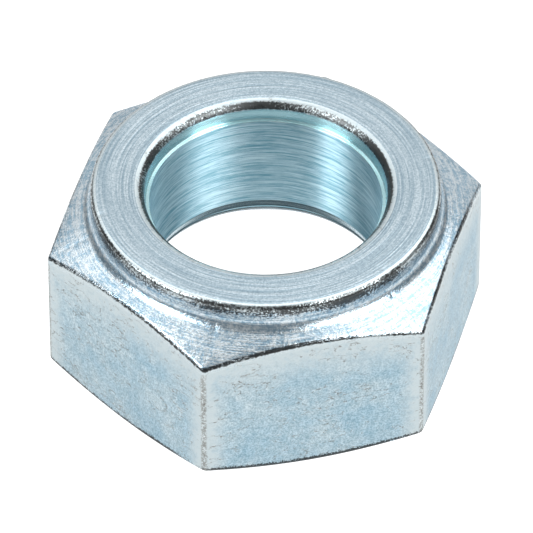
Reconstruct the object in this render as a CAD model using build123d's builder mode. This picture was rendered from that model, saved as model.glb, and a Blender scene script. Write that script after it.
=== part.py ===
"""Top lock nut: a heavy hexagon nut turned and milled from one piece of steel bar.

A round collar stands on the wrench hexagon, with a hollow root curve round its foot and a
shallow turned slope that runs out over the six corners. The plain bore is opened a little at
the collar, flares at its lower end and runs out into a wide conical seat underneath.

Frame: the bore lies on Z, the nut stands on Z = 0 with the collar up, and a corner of the
hexagon points along +X. All sizes are in millimetres and degrees.
"""

from build123d import *

import os
from math import cos, pi, radians, tan

# Hexagon bar
across_flats = 46.0
height = 23.5
corner_round = 0.6  # radius worn and rolled onto each upright edge

# Collar on the top face, measured in from the flats and down from the top
collar_inset = 2.3  # from a flat in to the collar wall
collar_edge_chamfer = 0.55
collar_foot_round = 0.7  # the hollow root curve between collar and slope

# Turned slopes over the corners
shoulder_drop = 4.05  # top face down to the slope's line at the middle of a flat
shoulder_angle = 23.0  # slope against the top face
base_inset = 0.5  # from a flat in to the bearing ring's outer edge
base_angle = 19.0  # slope against the bearing ring
slope_edge_chamfer = 0.3  # where each slope cuts the flats

# Bore, with the counterbore that opens it at the collar
bore_diameter = 27.5
ledge_width = 0.45  # flat step at the counterbore's floor
counterbore_draft = 0.2  # how much the counterbore widens from its floor to its mouth
counterbore_depth = 2.25
lip_round = 1.35

# Lower end of the bore and the conical seat underneath
flare_width = 0.65  # how much the bore's lower end widens
flare_height = 1.5
land_height = 0.6  # short plain wall between flare and seat
seat_depth = 6.3
bearing_ring_width = 1.5  # flat ring left round the seat's mouth

# Radii and heights that follow from the sizes above
flat_radius = across_flats / 2
past_corners = flat_radius / cos(pi / 6) + collar_inset
collar_radius = flat_radius - collar_inset
base_radius = flat_radius - base_inset
seat_mouth_radius = base_radius - bearing_ring_width
bore_radius = bore_diameter / 2
counterbore_floor_radius = bore_radius + ledge_width
counterbore_mouth_radius = counterbore_floor_radius + counterbore_draft
flare_radius = bore_radius + flare_width

shoulder_level = height - shoulder_drop
collar_foot_level = shoulder_level + collar_inset * tan(radians(shoulder_angle))
shoulder_end_level = shoulder_level - (past_corners - flat_radius) * tan(radians(shoulder_angle))
base_end_level = (past_corners - base_radius) * tan(radians(base_angle))
counterbore_level = height - counterbore_depth
land_level = seat_depth + land_height
flare_level = land_level + flare_height

# The section of the turning, as (radius, level) with the rounding of each corner
turned_section = [
    ((seat_mouth_radius, 0), 0),
    ((base_radius, 0), 0),
    ((past_corners, base_end_level), 0),
    ((past_corners, shoulder_end_level), 0),
    ((collar_radius, collar_foot_level), collar_foot_round),
    ((collar_radius, height - collar_edge_chamfer), 0),
    ((collar_radius - collar_edge_chamfer, height), 0),
    ((counterbore_mouth_radius, height), lip_round),
    ((counterbore_floor_radius, counterbore_level), 0),
    ((bore_radius, counterbore_level), 0),
    ((bore_radius, flare_level), 0),
    ((flare_radius, land_level), 0),
    ((flare_radius, seat_depth), 0),
]

os.makedirs("parts", exist_ok=True)

with BuildPart() as lock_nut:
    # The hexagon bar, with its upright edges rounded
    with BuildSketch(Plane.XY):
        RegularPolygon(radius=flat_radius, side_count=6, major_radius=False)
    extrude(amount=height)
    fillet(lock_nut.edges().filter_by(Axis.Z), radius=corner_round)

    # Everything turned on the lathe comes from one section, spun about the bore
    with BuildSketch(Plane.XZ):
        with BuildLine():
            FilletPolyline(
                [point for point, rounding in turned_section],
                radius=[rounding for point, rounding in turned_section],
                close=True,
            )
        make_face()
    revolve(axis=Axis.Z, mode=Mode.INTERSECT)

    # Where the two slopes cut the flats and the rounded corners they leave scalloped lines,
    # the only edges of the nut that are neither straight nor round
    straight_or_round = (GeomType.LINE, GeomType.CIRCLE)
    scalloped = lock_nut.edges().filter_by(lambda edge: edge.geom_type not in straight_or_round)
    chamfer(scalloped, length=slope_edge_chamfer)

lock_nut.part.label = "lock_nut"
export_step(lock_nut.part, "parts/lock_nut.step")
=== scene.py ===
from math import atan2, cos, degrees, hypot, pi, radians, sin, sqrt, tan

import bmesh
import bpy
from mathutils import Matrix, Vector, noise


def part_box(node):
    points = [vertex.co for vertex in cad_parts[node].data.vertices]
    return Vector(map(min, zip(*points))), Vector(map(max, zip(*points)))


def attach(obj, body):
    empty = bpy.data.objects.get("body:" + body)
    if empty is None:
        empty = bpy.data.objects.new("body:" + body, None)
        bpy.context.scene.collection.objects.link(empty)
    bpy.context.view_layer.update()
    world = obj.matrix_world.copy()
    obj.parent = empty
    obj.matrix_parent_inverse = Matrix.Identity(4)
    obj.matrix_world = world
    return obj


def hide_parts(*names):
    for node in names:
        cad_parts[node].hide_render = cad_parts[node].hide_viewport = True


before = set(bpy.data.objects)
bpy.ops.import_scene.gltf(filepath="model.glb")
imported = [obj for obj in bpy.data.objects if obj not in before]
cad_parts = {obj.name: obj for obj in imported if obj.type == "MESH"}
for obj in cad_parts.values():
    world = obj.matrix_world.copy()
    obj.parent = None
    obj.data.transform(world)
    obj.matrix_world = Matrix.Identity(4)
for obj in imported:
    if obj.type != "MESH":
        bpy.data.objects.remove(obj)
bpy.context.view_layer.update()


# The lock nut
# One piece of steel bar, turned round its bore and milled to a hexagon, then tumbled and zinc
# plated in a barrel with a pale blue passivate. It stands on its bearing ring.
mm = 0.001
high_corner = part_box("lock_nut")[1]
flat_radius = high_corner.y
height = high_corner.z
corner_radius = 0.6 * mm
collar_radius = 20.7 * mm
rim_width = 0.75 * mm
rim_fall = 0.13 * mm
shoulder_level = 19.45 * mm
shoulder_slope = tan(radians(23))
base_radius = 22.5 * mm
base_slope = tan(radians(19))
bore_radius = 13.75 * mm
floor_radius = bore_radius + 0.45 * mm
mouth_radius = floor_radius + 0.2 * mm
ledge_level = height - 2.25 * mm
flare_radius = bore_radius + 0.65 * mm
seat_level = 6.3 * mm
land_level = seat_level + 0.6 * mm
flare_level = land_level + 1.5 * mm
seat_mouth = 21.0 * mm
foot_level = shoulder_level + (flat_radius - collar_radius) * shoulder_slope
base_level = (flat_radius - base_radius) * base_slope

# The turned section: each corner's radius and level, the radius of its rounding in millimetres
# and the number of steps in that rounding
section = [
    ((seat_mouth, 0), 0.15, 3),
    ((base_radius, 0), 0.3, 2),
    ((flat_radius, base_level), 0.6, 5),
    ((flat_radius, shoulder_level), 0.7, 8),
    ((collar_radius, foot_level), 1.5, 12),
    ((collar_radius, height - rim_fall), 0.6, 8),
    ((collar_radius - rim_width, height), 1.5, 3),
    ((mouth_radius, height), 1.35, 12),
    ((floor_radius, ledge_level), 0.08, 2),
    ((bore_radius, ledge_level), 0.1, 3),
    ((bore_radius, flare_level), 0.12, 3),
    ((flare_radius, land_level), 0.15, 3),
    ((flare_radius, seat_level), 1.3, 6),
]
row_spacing = 0.55 * mm  # between the rows along a long stretch of the section
spokes = 80  # in a sixth of the turn

nut_mesh = bmesh.new()
corners = [nut_mesh.verts.new((radius, 0, level)) for (radius, level), *_ in section]
for first, second in zip(corners, corners[1:] + corners[:1]):
    nut_mesh.edges.new((first, second))
for (radius, level), rounding, steps in section:
    place = Vector((radius, 0, level))
    corner = min(nut_mesh.verts, key=lambda vert: (vert.co - place).length)
    first, second = [edge.other_vert(corner).co - corner.co for edge in corner.link_edges]
    reach = rounding * mm * tan((pi - first.angle(second)) / 2)
    bmesh.ops.bevel(nut_mesh, geom=[corner], offset=reach, affect="VERTICES", segments=steps,
                    profile=0.5, material=-1)
for stretch in nut_mesh.edges[:]:
    cuts = round(stretch.calc_length() / row_spacing)
    if cuts > 1:
        bmesh.ops.subdivide_edges(nut_mesh, edges=[stretch], cuts=cuts - 1)

# One sixth of the nut, from the middle of a flat over a corner to the next flat, is spun from the
# section and drawn out to the hexagon, more and more from the collar's foot and from the bearing
# ring outwards. Its spokes crowd towards the corner.
bmesh.ops.rotate(nut_mesh, verts=nut_mesh.verts, cent=(0, 0, 0), matrix=Matrix.Rotation(-pi / 6, 3, "Z"))
bmesh.ops.spin(nut_mesh, geom=nut_mesh.verts[:] + nut_mesh.edges[:], cent=(0, 0, 0), axis=(0, 0, 1),
               dvec=(0, 0, 0), angle=pi / 3, steps=spokes, use_merge=False)
crowding = 0.8
slope_start = collar_radius + 1.0 * mm
slope_end = flat_radius - 0.55 * mm
base_slope_end = flat_radius - 0.2 * mm
slope_margin = 1 * mm


def hexagon_reach(azimuth):
    """Distance from the axis to the hexagon's outline, with its corner at azimuth 0 rounded."""
    centre = (flat_radius - corner_radius) / cos(pi / 6)
    tangent = atan2(corner_radius / 2, centre + corner_radius * cos(pi / 6))
    if abs(azimuth) > tangent:
        return flat_radius / cos(pi / 6 - abs(azimuth))
    return centre * cos(azimuth) + sqrt(corner_radius**2 - (centre * sin(azimuth)) ** 2)


def ramp(value, start, full):
    """How far a value has come from start to full, held between 0 and 1."""
    return min(max((value - start) / (full - start), 0.0), 1.0)


for vert in nut_mesh.verts:
    radius = hypot(vert.co.x, vert.co.y)
    azimuth = atan2(vert.co.y, vert.co.x)
    azimuth -= crowding / 6 * sin(6 * azimuth)
    level = vert.co.z
    if level > height / 2:
        share = ramp(radius, slope_start, slope_end)
    else:
        share = ramp(radius, base_radius, base_slope_end)
    draw = share * (hexagon_reach(azimuth) - flat_radius)
    rise = ramp(level, slope_margin, shoulder_level - slope_margin)
    radius += draw
    level += draw * (base_slope - rise * (base_slope + shoulder_slope))
    vert.co = (radius * cos(azimuth), radius * sin(azimuth), level)

# The sixth is turned round to the other five places, and the six are joined
join_distance = 0.002 * mm
sixth = nut_mesh.verts[:] + nut_mesh.edges[:] + nut_mesh.faces[:]
for turn in range(1, 6):
    copied = bmesh.ops.duplicate(nut_mesh, geom=sixth)["geom"]
    copied_verts = [item for item in copied if isinstance(item, bmesh.types.BMVert)]
    bmesh.ops.rotate(nut_mesh, verts=copied_verts, cent=(0, 0, 0),
                     matrix=Matrix.Rotation(turn * pi / 3, 3, "Z"))
bmesh.ops.remove_doubles(nut_mesh, verts=nut_mesh.verts, dist=join_distance)
bmesh.ops.recalc_face_normals(nut_mesh, faces=nut_mesh.faces)
nut_mesh.normal_update()

# The barrel rubs the edges and builds the plate up unevenly, all of it inside the plain sizes. Three
# values stay on the mesh for the finish: how near a point of a flat is to its edges, how much the
# tumbling parts have peened it, and how much painted shade, partly dried oil, darkens it there.
wear_depth = 0.06 * mm
worn_edge = 0.8 * mm
wear_spots = 0.9 * mm
wear_specks = 0.35 * mm
rubbed_width = 6.5 * mm
upright_band = 0.7 * mm
rubbed_pale = 0.85
lip_peening = 0.4
rubbed_rim = height - 0.8 * mm
face_inner = mouth_radius + 1.1 * mm
face_outer = collar_radius - 0.6 * mm
turned_radius = collar_radius - 1.2 * mm
turned_level = 0.4 * mm
seat_edge = base_radius + 0.1 * mm

# The top of each flat and of its rounded edge, as levels from the scalloped line between them
flat_top = -0.55 * mm
edge_top = -0.1 * mm

# How much painted shade, partly dried oil, there is in each place. More than 1 gives a solid dark line.
lip_shade_and_oil = 1.25
wall_shade_and_oil = 0.22
rim_shade_and_oil = 0.83
slope_shade_and_oil = 1.05
base_shade_and_oil = 1.15

# Where the peening and the painted shade start, and where they are full: levels from the scalloped
# line at the top of each flat, heights on the rim, and tilts of the surface in degrees
peened_levels = (-0.66 * mm, -0.51 * mm)
darkened_levels = (-0.54 * mm, -0.26 * mm)
darkened_rim_levels = (height - 2.0 * mm, height - 1.2 * mm)
darkened_lip_tilts = ((21, 34), (75, 63))
darkened_collar_tilts = (20, 35)
darkened_slope_tilts = (30, 43)
dark_patches = 5 * mm
edge_nearness = []
peened = []
shade_and_oil = []
moves = []
for vert in nut_mesh.verts:
    radius = hypot(vert.co.x, vert.co.y)
    turn = (atan2(vert.co.y, vert.co.x) + pi / 6) % (pi / 3) - pi / 6
    reach = hexagon_reach(turn)
    above = vert.co.z - (shoulder_level - (reach - flat_radius) * shoulder_slope)
    to_upright_edge = flat_radius * tan(pi / 6) - reach * sin(pi / 6 - abs(turn))
    tilt = degrees(vert.normal.angle((0, 0, 1)))
    peening = ramp(above, *peened_levels)

    # The flats are rubbed far down from their top edge and less far in from their upright edges,
    # and the lip and the rim are rubbed pale all round
    rubbed_in = to_upright_edge + 1.5 * max(to_upright_edge - upright_band, 0.0)
    if above < flat_top and radius > base_radius:
        edge_nearness.append(max(0.0, 1 - min(rubbed_in, -above) / rubbed_width))
    elif above < edge_top or vert.co.z > rubbed_rim:
        edge_nearness.append(rubbed_pale)
    else:
        edge_nearness.append(0.0)

    # Shade and dark reflection are painted dark, with some dried oil, on the lip, the collar's rim and
    # wall, the rounded edges of the flats and the edges that face down, and none in the seat
    if vert.normal.z < 0 and radius < seat_edge:
        shade_and_oil_here = 0.0
    elif vert.normal.z < 0:
        shade_and_oil_here = base_shade_and_oil * ramp(-vert.normal.z, 0, 0.04) * ramp(-vert.normal.z, 0.9, 0.65)
    elif radius < face_inner:
        shade_and_oil_here = lip_shade_and_oil * ramp(tilt, *darkened_lip_tilts[0]) * ramp(tilt, *darkened_lip_tilts[1])
        peening = lip_peening
    elif radius < slope_start:
        on_rim = ramp(vert.co.z, *darkened_rim_levels)
        shade_and_oil_here = ramp(tilt, *darkened_collar_tilts) * (wall_shade_and_oil + rim_shade_and_oil * on_rim)
    else:
        shade_and_oil_here = slope_shade_and_oil * ramp(tilt, *darkened_slope_tilts) * ramp(above, *darkened_levels)
    shade_and_oil.append(shade_and_oil_here * (0.8 + 0.5 * noise.noise(vert.co / dark_patches)))
    peened.append(peening)

    # The plate is uneven everywhere outside the turned faces, and most at the edges
    rough = 0.5 + 0.3 * noise.noise(vert.co / wear_spots) + 0.2 * noise.noise(vert.co / wear_specks)
    edge = max(0.0, 1 - min(to_upright_edge, abs(above)) / worn_edge)
    turned_part = radius < turned_radius or vert.co.z < turned_level
    moves.append(vert.normal * (0.0 if turned_part else -rough * wear_depth * (0.1 + 0.9 * edge)))
for vert, move in zip(nut_mesh.verts, moves):
    vert.co += move

# The finish of each face: 0 as it left the barrel, 1 turned, 2 bored, which ends at the lip
bored_radius = mouth_radius + 0.08 * mm
lip_foot = height - 0.9 * mm
for face in nut_mesh.faces:
    face.smooth = True
    middle = face.calc_center_median()
    radius = hypot(middle.x, middle.y)
    if face_inner < radius < face_outer or (radius < base_radius and middle.z < seat_level):
        face.material_index = 1
    if radius < bored_radius and seat_level < middle.z < lip_foot:
        face.material_index = 2
nut_data = bpy.data.meshes.new("lock_nut_body")
nut_mesh.to_mesh(nut_data)
nut_mesh.free()
for name, values in (("edge_nearness", edge_nearness), ("peened", peened), ("shade_and_oil", shade_and_oil)):
    attribute = nut_data.attributes.new(name, "FLOAT", "POINT")
    attribute.data.foreach_set("value", values)
nut = bpy.data.objects.new("lock_nut_body", nut_data)
bpy.context.scene.collection.objects.link(nut)


def linear(colour):
    """A colour given as sRGB hex, as the linear values that a shader takes."""
    parts = [int(colour[i:i + 2], 16) / 255 for i in (1, 3, 5)]
    parts = [part / 12.92 if part <= 0.04045 else ((part + 0.055) / 1.055) ** 2.4 for part in parts]
    return (*parts, 1)


def add(tree, kind, inputs, output=0, **settings):
    """Add a node with its settings and its inputs, each a value or another node's output."""
    node = tree.nodes.new("ShaderNode" + kind)
    for name, value in settings.items():
        setattr(node, name, value)
    for name, value in inputs.items():
        if isinstance(value, bpy.types.NodeSocket):
            tree.links.new(value, node.inputs[name])
        else:
            node.inputs[name].default_value = value
    return node.outputs[output]


def tool_rings(tree, place, pitch, wander, detail, roughness):
    """Uneven rings round the bore, as a lathe tool leaves them across a face and down a wall.

    A finishing cut leaves them 0.1 to 0.2 mm apart. They are drawn a little coarser, to show. They
    are broken up more the larger wander is.
    """
    flattened = add(tree, "VectorMath", {0: place, 1: (1, 1, 0)}, operation="MULTIPLY")
    outward = add(tree, "VectorMath", {0: flattened}, operation="NORMALIZE")
    from_axis = add(tree, "VectorMath", {0: flattened}, output="Value", operation="LENGTH")
    level = add(tree, "SeparateXYZ", {0: place}, output="Z")
    across = add(tree, "Math", {0: from_axis, 1: level}, operation="SUBTRACT")
    across = add(tree, "Math", {0: across, 1: 1 / pitch}, operation="MULTIPLY")
    around = add(tree, "VectorMath", {0: outward, "Scale": wander}, operation="SCALE")
    rings_place = add(tree, "CombineXYZ", {0: 0.0, 1: 0.0, 2: across})
    rings_place = add(tree, "VectorMath", {0: around, 1: rings_place}, operation="ADD")
    return add(tree, "TexNoise", {"Vector": rings_place, "Scale": 1.0, "Detail": detail,
                                  "Roughness": roughness})


# Barrel plated zinc with a blue passivate, on the flats, the slopes, the collar's wall and the lip:
# matt and faintly clouded on the flats, bright and scratched where the barrel has peened it, and
# rubbed to a paler grey along the edges.
plated = bpy.data.materials.new("barrel_plated_zinc")
plated.use_nodes = True
tree = plated.node_tree
shader = tree.nodes["Principled BSDF"]
shader.inputs["Metallic"].default_value = 1
place = add(tree, "TexCoord", {}, output="Object")
peened_part = add(tree, "Attribute", {}, output="Fac", attribute_name="peened")
nearness = add(tree, "Attribute", {}, output="Fac", attribute_name="edge_nearness")
shade_and_oil_part = add(tree, "Attribute", {}, output="Fac", attribute_name="shade_and_oil")
clouds, mottle, grain = [
    add(tree, "TexNoise", {"Vector": place, "Scale": 1 / size, "Detail": detail, "Roughness": roughness})
    for size, detail, roughness in ((5 * mm, 5, 0.65), (0.8 * mm, 4, 0.65), (0.24 * mm, 3, 0.7))
]
rings = tool_rings(tree, place, pitch=0.3 * mm, wander=3.0, detail=3, roughness=0.75)

# Blue and grey clouds with a fine speckle
cloudy = add(tree, "MapRange", {"Value": clouds, "From Min": 0.36, "From Max": 0.64})
colour = add(tree, "Mix", {0: cloudy, 6: linear("#bad5e3"), 7: linear("#d7e5eb")}, output=2,
             data_type="RGBA")
for speckle, darkest in ((grain, "#ccd6da"), (mottle, "#e8eef0")):
    speckled = add(tree, "MapRange", {"Value": speckle, "From Min": 0.4, "From Max": 0.6})
    speckled = add(tree, "Mix", {0: speckled, 6: linear(darkest), 7: linear("#ffffff")}, output=2,
                   data_type="RGBA")
    colour = add(tree, "Mix", {0: 1.0, 6: colour, 7: speckled}, output=2, data_type="RGBA",
                 blend_type="MULTIPLY")

# Brighter and bluer where peened, with fine scratches that follow the turning
scratches = add(tree, "MapRange", {"Value": rings, "From Min": 0.42, "From Max": 0.58, "To Min": -0.12,
                                   "To Max": 0.12})
glint = add(tree, "Math", {0: mottle, 1: grain}, operation="ADD")
glint = add(tree, "Math", {0: glint, 1: scratches}, operation="ADD")
glint = add(tree, "MapRange", {"Value": glint, "From Min": 0.83, "From Max": 1.15})
brightened = add(tree, "Mix", {0: glint, 6: linear("#9dbed4"), 7: linear("#e9f2f7")}, output=2,
                 data_type="RGBA")
bright = add(tree, "Math", {0: peened_part, 1: 0.8}, operation="MULTIPLY")
colour = add(tree, "Mix", {0: bright, 6: colour, 7: brightened}, output=2, data_type="RGBA")

# Paler where rubbed
rubbing = add(tree, "Math", {0: nearness, 1: mottle}, operation="MULTIPLY")
rubbing = add(tree, "MapRange", {"Value": rubbing, "From Max": 0.4, "To Max": 0.9})
colour = add(tree, "Mix", {0: rubbing, 6: colour, 7: linear("#ced9dc")}, output=2, data_type="RGBA")

# Brown dirt in the grain's peaks along the upright edges, and bare specks between them
at_edge = add(tree, "MapRange", {"Value": nearness, "From Min": 0.92, "From Max": 0.96})
for start, full, most, hue in ((0.43, 0.56, 0.65, "#71675a"), (0.45, 0.35, 0.75, "#eef0ef")):
    specks = add(tree, "MapRange", {"Value": grain, "From Min": start, "From Max": full,
                                    "To Max": most})
    specks = add(tree, "Math", {0: at_edge, 1: specks}, operation="MULTIPLY")
    colour = add(tree, "Mix", {0: specks, 6: colour, 7: linear(hue)}, output=2, data_type="RGBA")

# Pits, and the hairline laps that forming the hexagon leaves in the flats, drawn out round the nut
pit_spacing = 1.9 * mm
cells = add(tree, "TexVoronoi", {"Vector": place, "Scale": 1 / pit_spacing}, output="Distance")
cell_colour = add(tree, "TexVoronoi", {"Vector": place, "Scale": 1 / pit_spacing}, output="Color")
luck = add(tree, "SeparateXYZ", {0: cell_colour}, output="X")
pit_size = add(tree, "MapRange", {"Value": luck, "From Min": 0.55, "From Max": 1.0, "To Max": 0.12})
pit_depth = add(tree, "Math", {0: pit_size, 1: cells}, operation="SUBTRACT")
pits = add(tree, "MapRange", {"Value": pit_depth, "From Min": 0.0, "From Max": 0.05})
lap_spacing = 5 * mm
drawn = add(tree, "VectorMath", {0: place, 1: (1, 1, 2.5)}, operation="MULTIPLY")
lap_noise = add(tree, "TexNoise", {"Vector": drawn, "Scale": 1 / lap_spacing, "Detail": 4,
                                   "Roughness": 0.6})
off_lap = add(tree, "Math", {0: lap_noise, 1: 0.5}, operation="SUBTRACT")
off_lap = add(tree, "Math", {0: off_lap}, operation="ABSOLUTE")
laps = add(tree, "MapRange", {"Value": off_lap, "From Min": 0.01, "From Max": 0.003})
broken = add(tree, "Math", {0: clouds, 1: mottle}, operation="ADD")
broken = add(tree, "MapRange", {"Value": broken, "From Min": 0.99, "From Max": 1.04})
on_flats = add(tree, "Math", {0: 1.0, 1: peened_part}, operation="SUBTRACT")
for limit in (broken, on_flats):
    laps = add(tree, "Math", {0: laps, 1: limit}, operation="MULTIPLY")
flaws = add(tree, "Math", {0: pits, 1: laps}, operation="MAXIMUM")
stain = add(tree, "Math", {0: flaws, 1: 0.6}, operation="MULTIPLY")
colour = add(tree, "Mix", {0: stain, 6: colour, 7: linear("#6b6258")}, output=2, data_type="RGBA")

# Painted shade, partly dried oil, with a ragged edge: it lies where there is more of it than the grain
# holds off
held_off = add(tree, "MapRange", {"Value": grain, "From Min": 0.3, "From Max": 0.7, "To Min": 0.15,
                                  "To Max": 1.15})
shade_and_oil_mask = add(tree, "Math", {0: shade_and_oil_part, 1: held_off}, operation="SUBTRACT")
shade_and_oil_mask = add(tree, "MapRange", {"Value": shade_and_oil_mask, "From Min": -0.1, "From Max": 0.2, "To Max": 0.9})
colour = add(tree, "Mix", {0: shade_and_oil_mask, 6: colour, 7: linear("#2c2a28")}, output=2, data_type="RGBA")
tree.links.new(colour, shader.inputs["Base Color"])

# Gloss: matt on the flats, bright where peened
matt = add(tree, "MapRange", {"Value": peened_part, "To Min": 0.42, "To Max": 0.17})
uneven = add(tree, "MapRange", {"Value": mottle, "From Min": 0.3, "From Max": 0.7, "To Min": -0.07,
                                "To Max": 0.07})
gloss = add(tree, "Math", {0: matt, 1: uneven}, operation="ADD")
tree.links.new(gloss, shader.inputs["Roughness"])

# Relief: grain all over, dents from the tumbling, traces of the tool on the slopes, and the flaws.
# Each has its depth, and its strength on the flats and on the slopes.
flaw_depth = 0.05 * mm
surface = None
for relief, depth, on_flat, on_slope in (
    (grain, 0.07 * mm, 0.5, 0.45),
    (mottle, 0.12 * mm, 0.1, 0.12),
    (rings, 0.06 * mm, 0.0, 0.35),
):
    strength = add(tree, "MapRange", {"Value": peened_part, "To Min": on_flat, "To Max": on_slope})
    under = {"Normal": surface} if surface else {}
    surface = add(tree, "Bump", {"Height": relief, "Distance": depth, "Strength": strength, **under})
surface = add(tree, "Bump", {"Height": flaws, "Distance": flaw_depth, "Strength": 1.0,
                             "Normal": surface}, invert=True)
tree.links.new(surface, shader.inputs["Normal"])

# The same plate over turned steel, on the collar's face, on the bearing ring and in the seat. The
# tool's rings stay under it as fine lines: painted highlights on the crests, painted shade in the
# grooves.
turned = bpy.data.materials.new("turned_plated_zinc")
turned.use_nodes = True
tree = turned.node_tree
shader = tree.nodes["Principled BSDF"]
shader.inputs["Metallic"].default_value = 1
shader.inputs["Roughness"].default_value = 0.2
place = add(tree, "TexCoord", {}, output="Object")

# Painted highlights on the crests and painted shade in the grooves, with a fine speckle
rings = tool_rings(tree, place, pitch=0.25 * mm, wander=1.1, detail=3, roughness=0.7)
painted_groove_shading = add(tree, "MapRange", {"Value": rings, "From Min": 0.36, "From Max": 0.64})
colour = add(tree, "Mix", {0: painted_groove_shading, 6: linear("#a0b5c1"), 7: linear("#d3e0e7")}, output=2,
             data_type="RGBA")
grain = add(tree, "TexNoise", {"Vector": place, "Scale": 1 / (0.2 * mm), "Detail": 3, "Roughness": 0.7})
speckled = add(tree, "MapRange", {"Value": grain, "From Min": 0.4, "From Max": 0.6})
speckled = add(tree, "Mix", {0: speckled, 6: linear("#d6dde1"), 7: linear("#ffffff")}, output=2,
               data_type="RGBA")
colour = add(tree, "Mix", {0: 1.0, 6: colour, 7: speckled}, output=2, data_type="RGBA",
             blend_type="MULTIPLY")
tree.links.new(colour, shader.inputs["Base Color"])
surface = add(tree, "Bump", {"Height": rings, "Distance": 0.08 * mm, "Strength": 0.55})
tree.links.new(surface, shader.inputs["Normal"])

# The same plate in the bore, where it is thinner and the passivate takes a greener blue. The boring
# tool's grooves draw the light out up and down the wall. The counterbore and the flare are smoother.
bored = bpy.data.materials.new("bored_plated_zinc")
bored.use_nodes = True
tree = bored.node_tree
shader = tree.nodes["Principled BSDF"]
shader.inputs["Metallic"].default_value = 1
shader.inputs["Anisotropic"].default_value = 1.0
shader.inputs["Anisotropic Rotation"].default_value = 0.25
tangent = add(tree, "Tangent", {}, direction_type="RADIAL", axis="Z")
tree.links.new(tangent, shader.inputs["Tangent"])
place = add(tree, "TexCoord", {}, output="Object")

# The counterbore and the flare are told from the bore's wall by their level
level = add(tree, "SeparateXYZ", {0: place}, output="Z")
above_ledge = add(tree, "Math", {0: level, 1: ledge_level - 0.05 * mm}, operation="GREATER_THAN")
below_flare = add(tree, "Math", {0: level, 1: flare_level}, operation="LESS_THAN")

# Painted highlights on the crests and painted shade in the grooves, and a painted pale blue light over
# most of them in the counterbore
rings = tool_rings(tree, place, pitch=0.25 * mm, wander=2.4, detail=4, roughness=0.8)
painted_groove_shading = add(tree, "MapRange", {"Value": rings, "From Min": 0.38, "From Max": 0.62})
colour = add(tree, "Mix", {0: painted_groove_shading, 6: linear("#76a9bb"), 7: linear("#cae4ec")}, output=2,
             data_type="RGBA")
# A painted highlight: the counterbore's wall is painted a paler blue than the bore below it
painted_counterbore_light = add(tree, "Math", {0: above_ledge, 1: 0.7}, operation="MULTIPLY")
colour = add(tree, "Mix", {0: painted_counterbore_light, 6: colour, 7: linear("#c4e9ec")}, output=2, data_type="RGBA")
tree.links.new(colour, shader.inputs["Base Color"])

# Gloss and relief: least gloss and deepest grooves on the bore's wall, and most gloss in the flare
gloss = add(tree, "MapRange", {"Value": above_ledge, "To Min": 0.43, "To Max": 0.27})
gloss = add(tree, "MapRange", {"Value": below_flare, "To Min": gloss, "To Max": 0.13})
tree.links.new(gloss, shader.inputs["Roughness"])
recessed = add(tree, "Math", {0: above_ledge, 1: below_flare}, operation="MAXIMUM")
groove_strength = add(tree, "MapRange", {"Value": recessed, "To Min": 0.6, "To Max": 0.1})
surface = add(tree, "Bump", {"Height": rings, "Distance": 0.1 * mm, "Strength": groove_strength})
tree.links.new(surface, shader.inputs["Normal"])

for finish in (plated, turned, bored):
    nut_data.materials.append(finish)
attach(nut, "root")
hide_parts("lock_nut")


# The table
# A sheet of white acrylic lit from below, as small parts are photographed on. The nut mirrors its
# light, dim in a ring of painted shadow under the bore's wall, with painted light under the bore and
# the seat. The camera, exposed for the nut, sees it all white.
table_width = 300 * mm
bpy.ops.mesh.primitive_plane_add(size=table_width)
table = bpy.context.object
table.name = "light_table"
acrylic = bpy.data.materials.new("lit_acrylic_painted_shadow")
acrylic.use_nodes = True
tree = acrylic.node_tree
shader = tree.nodes["Principled BSDF"]
shader.inputs["Base Color"].default_value = linear("#808080")
shader.inputs["Roughness"].default_value = 0.9
shader.inputs["Specular IOR Level"].default_value = 0
shader.inputs["Emission Color"].default_value = (1, 1, 1, 1)
place = add(tree, "TexCoord", {}, output="Object")
outward = add(tree, "VectorMath", {0: place}, output="Value", operation="LENGTH")

# A painted pool of light under the open bore, painted shadow under the bore's wall, a painted ring of
# light under the seat, and the plain glow round the nut, by distance from the axis
painted_light_through_bore = add(tree, "MapRange", {"Value": outward, "From Min": 8.0 * mm, "From Max": 10.5 * mm,
                                      "To Min": 1.5, "To Max": 0.05})
glow_with_painted_seat_light = add(tree, "MapRange", {"Value": outward, "From Min": 17.5 * mm, "From Max": 19.5 * mm,
                                    "To Min": 1.3, "To Max": 0.7})
glow_with_painted_seat_light = add(tree, "MapRange", {"Value": outward, "From Min": 15.2 * mm, "From Max": 16.2 * mm,
                                    "To Max": glow_with_painted_seat_light})
glow_with_painted_light_and_shadow = add(tree, "Math", {0: painted_light_through_bore, 1: glow_with_painted_seat_light}, operation="ADD")
seen = add(tree, "LightPath", {}, output="Is Camera Ray")
seen_white = 1.1
glow = add(tree, "MapRange", {"Value": seen, "To Min": glow_with_painted_light_and_shadow, "To Max": seen_white})
tree.links.new(glow, shader.inputs["Emission Strength"])
table.data.materials.append(acrylic)


# The studio
# Soft boxes in a pale room, drawn on the sky by direction: across to the right as the camera sees it,
# away to the back, and up. Azimuth is measured from the back. The camera sees the sky plain white.
view_azimuth = -14.03
studio = bpy.data.worlds.new("studio")
studio.use_nodes = True
tree = studio.node_tree
direction = add(tree, "TexCoord", {}, output="Generated")
direction = add(tree, "VectorRotate", {"Vector": direction, "Axis": (0, 0, 1),
                                       "Angle": -radians(view_azimuth)}, rotation_type="AXIS_ANGLE")
across, away, up = [add(tree, "SeparateXYZ", {0: direction}, output=axis) for axis in "XYZ"]
azimuth = add(tree, "Math", {0: across, 1: away}, operation="ARCTAN2")
from_back = add(tree, "Math", {0: azimuth}, operation="ABSOLUTE")

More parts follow.
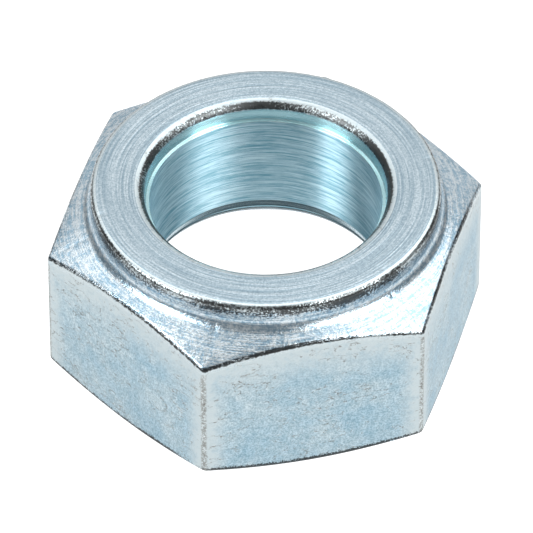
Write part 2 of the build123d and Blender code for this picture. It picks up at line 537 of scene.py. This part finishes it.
# A bank of soft boxes under the ceiling, strongest on the right, with one more on the far left. Its
# limits lie on a flat ceiling one unit up, and each gives what is measured, where the light starts
# and where it is full.
height_up = add(tree, "Math", {0: up, 1: 0.04}, operation="MAXIMUM")
ceiling_away = add(tree, "Math", {0: away, 1: height_up}, operation="DIVIDE")
ceiling_across = add(tree, "Math", {0: across, 1: height_up}, operation="DIVIDE")
ceiling_across = add(tree, "Math", {0: ceiling_across}, operation="ABSOLUTE")
slanted = add(tree, "Math", {0: ceiling_across, 1: 0.7}, operation="MULTIPLY")
slanted = add(tree, "Math", {0: slanted, 1: ceiling_away}, operation="ADD")
bank = add(tree, "MapRange", {"Value": across, "From Min": 0.0, "From Max": 0.5, "To Min": 0.74,
                              "To Max": 1.85})
left_box = add(tree, "MapRange", {"Value": across, "From Min": -0.36, "From Max": -0.55, "To Max": 0.3})
bank = add(tree, "Math", {0: bank, 1: left_box}, operation="ADD")
bank_limits = ((slanted, -0.18, 0.3), (ceiling_away, 1.1, 0.6), (ceiling_across, 1.35, 0.9))
for measured, start, full in bank_limits:
    limit = add(tree, "MapRange", {"Value": measured, "From Min": start, "From Max": full},
                interpolation_type="SMOOTHSTEP")
    bank = add(tree, "Math", {0: bank, 1: limit}, operation="MULTIPLY")

# A pale backdrop behind the table, wider and brighter at the top. It brightens in two steps: where
# each starts and ends, and its light before and after.
panel = add(tree, "MapRange", {"Value": from_back, "From Min": radians(39), "From Max": radians(33)},
            interpolation_type="SMOOTHSTEP")
top_panel = add(tree, "MapRange", {"Value": up, "From Min": sin(radians(21)),
                                   "From Max": sin(radians(28))}, interpolation_type="SMOOTHSTEP")
for measured, start, full in ((away, -0.1, 0.5), (from_back, radians(64), radians(50))):
    limit = add(tree, "MapRange", {"Value": measured, "From Min": start, "From Max": full},
                interpolation_type="SMOOTHSTEP")
    top_panel = add(tree, "Math", {0: top_panel, 1: limit}, operation="MULTIPLY")
backdrop = add(tree, "Math", {0: panel, 1: top_panel}, operation="MAXIMUM")
for start, full, least, most in ((0.0, 0.2, 0.45, 0.8), (0.5, 0.65, 1.0, 1.2)):
    brighter_up = add(tree, "MapRange", {"Value": up, "From Min": start, "From Max": full,
                                         "To Min": least, "To Max": most})
    backdrop = add(tree, "Math", {0: backdrop, 1: brighter_up}, operation="MULTIPLY")
light = add(tree, "Math", {0: bank, 1: backdrop}, operation="ADD")

# Two strip lights in front, which lean apart at the top and draw the bright bands down the bore:
# the azimuth and half the width of each, and the elevations between which their ends fade
strip_strength = 8.0
strip_edge = 7
strip_ends = ((12, 32), (62, 52))
lean = add(tree, "MapRange", {"Value": up, "From Min": 0.3, "From Max": 0.7, "To Min": 1.0,
                              "To Max": 1.07})
leaning = add(tree, "Math", {0: azimuth, 1: lean}, operation="MULTIPLY")
for middle, half in ((-117, 11), (130, 13)):
    off = add(tree, "Math", {0: leaning, 1: radians(middle)}, operation="SUBTRACT")
    off = add(tree, "Math", {0: off}, operation="ABSOLUTE")
    strip = add(tree, "MapRange", {"Value": off, "From Min": radians(half + strip_edge),
                                   "From Max": radians(half), "To Max": strip_strength},
                interpolation_type="SMOOTHSTEP")
    for start, full in strip_ends:
        limit = add(tree, "MapRange", {"Value": up, "From Min": sin(radians(start)),
                                       "From Max": sin(radians(full))}, interpolation_type="SMOOTHSTEP")
        strip = add(tree, "Math", {0: strip, 1: limit}, operation="MULTIPLY")
    light = add(tree, "Math", {0: light, 1: strip}, operation="ADD")

# A dim screen that fills the front, and the least that the pale room sends back
room_light = 0.3
screen = add(tree, "MapRange", {"Value": up, "From Min": sin(radians(84)), "From Max": sin(radians(73)),
                                "To Max": 0.33}, interpolation_type="SMOOTHSTEP")
in_front = add(tree, "MapRange", {"Value": away, "From Min": 0.05, "From Max": -0.2},
               interpolation_type="SMOOTHSTEP")
screen = add(tree, "Math", {0: screen, 1: in_front}, operation="MULTIPLY")
light = add(tree, "Math", {0: light, 1: screen}, operation="ADD")
light = add(tree, "Math", {0: light, 1: room_light}, operation="MAXIMUM")
seen = add(tree, "LightPath", {}, output="Is Camera Ray")
sky = add(tree, "Mix", {"Factor": seen, 2: light, 3: 1.0}, data_type="FLOAT")
background = tree.nodes["Background"]
background.inputs["Color"].default_value = (1, 1, 1, 1)
tree.links.new(sky, background.inputs["Strength"])
bpy.context.scene.world = studio
bpy.context.scene.view_settings.view_transform = "Standard"


# The camera
# At the photograph's angle, far off with a long lens, so that the view is nearly parallel. It
# stands a little off the line to its aim, so that the nut comes where it is in the picture.
view_elevation = 43.6
distance = 920 * mm
off_right = 0.0805 * mm
off_up = -0.621 * mm
aim = Vector((0, 0, 11.27 * mm))
camera = bpy.data.cameras.new("camera")
camera.sensor_width = 36
camera.lens = 522.6
camera.clip_start = 0.01
eye = bpy.data.objects.new("camera", camera)
eye.rotation_euler = (radians(90 - view_elevation), 0, radians(view_azimuth))
eye.location = aim + eye.rotation_euler.to_matrix() @ Vector((off_right, off_up, distance))
bpy.context.scene.collection.objects.link(eye)
bpy.context.scene.camera = eye
